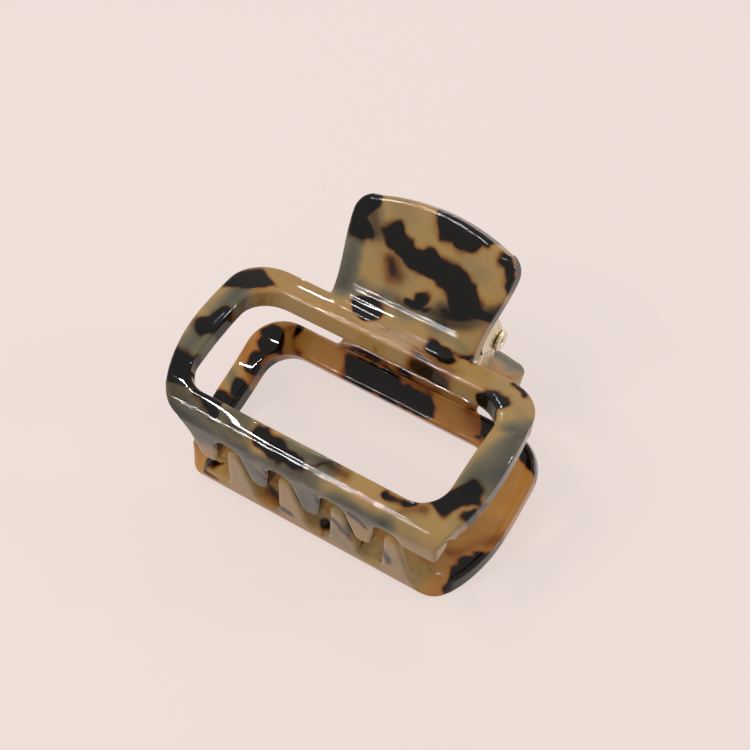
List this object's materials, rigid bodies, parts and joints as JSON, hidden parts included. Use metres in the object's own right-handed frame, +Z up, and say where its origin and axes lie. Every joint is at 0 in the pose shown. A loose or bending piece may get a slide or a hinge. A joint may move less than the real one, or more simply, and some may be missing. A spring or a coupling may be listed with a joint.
{
  "type": "claw clip",
  "caption": "Hair claw clip with two arched open-frame acetate jaws, interleaving teeth, flared finger tabs and a sprung pin hinge.",
  "frame": {"origin": "centre of the bounding box's bottom face, on the surface the clip lies on", "axes": "+X along the hinge, -Y towards the teeth, +Y towards the finger tabs, +Z up as the clip lies closed on its lower jaw"},
  "size_m": [0.0657, 0.0624, 0.0464],
  "materials": {
    "acetate": "polished translucent tortoiseshell",
    "hinge_metal": "polished pale gold plating",
    "spring_steel": "bright drawn wire"
  },
  "bodies": {
    "lower_half": {"lower_jaw": "acetate", "lower_hinge_leaf": "hinge_metal", "lower_rivet_a": "hinge_metal", "lower_rivet_b": "hinge_metal", "hinge_pin": "hinge_metal", "torsion_spring": "spring_steel"},
    "upper_half": {"upper_jaw": "acetate", "upper_hinge_leaf": "hinge_metal", "upper_rivet_a": "hinge_metal", "upper_rivet_b": "hinge_metal"}
  },
  "joints": [
    {"name": "jaw_hinge", "type": "hinge", "parent": "lower_half", "child": "upper_half", "pos_m": [0, 0.0183, 0.02198], "axis": [-1, 0, 0], "range_deg": [0, 80], "stiffness_Nm_per_rad": 0.06, "springref_deg": -51.57, "deforming": ["torsion_spring"]}
  ]
}
